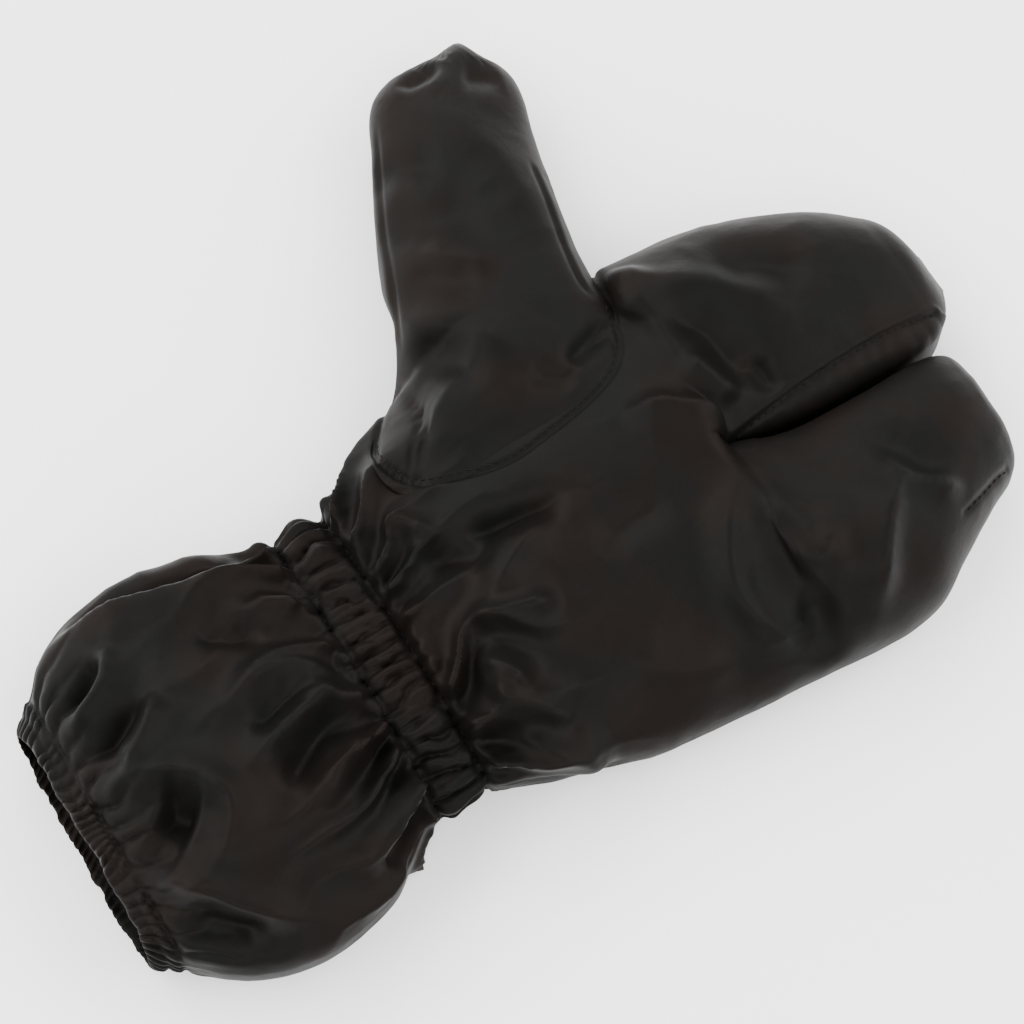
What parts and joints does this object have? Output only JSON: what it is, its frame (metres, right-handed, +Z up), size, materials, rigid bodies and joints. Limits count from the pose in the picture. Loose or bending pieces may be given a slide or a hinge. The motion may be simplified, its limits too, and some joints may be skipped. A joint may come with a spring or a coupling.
{
  "type": "rain overmitt",
  "caption": "Loose coated-cloth rain overmitt for the left hand: a thumb, two broad finger compartments, an elastic wrist band and a puffed gauntlet with a gathered mouth.",
  "frame": {"origin": "on the surface that the mitt lies on, under the middle of its bounding box", "axes": "+X from the mouth to the fingertips, +Y to the thumb side, +Z up out of the palm"},
  "size_m": [0.3946, 0.3008, 0.0591],
  "materials": {
    "shell_palm": "thin near-black coated cloth with a soft, slightly brown sheen",
    "shell_back": "the same thin near-black coated cloth",
    "elastic_bands": "the same cloth, finely gathered over flat elastic"
  },
  "bodies": {
    "root": {"palm_panel": "shell_palm", "back_panel": "shell_back", "finger_gusset": "shell_back", "thumb_front": "shell_palm", "thumb_back": "shell_back", "wrist_band": "elastic_bands", "gauntlet_front": "shell_palm", "gauntlet_back": "shell_back", "hem_band": "elastic_bands"}
  },
  "joints": []
}
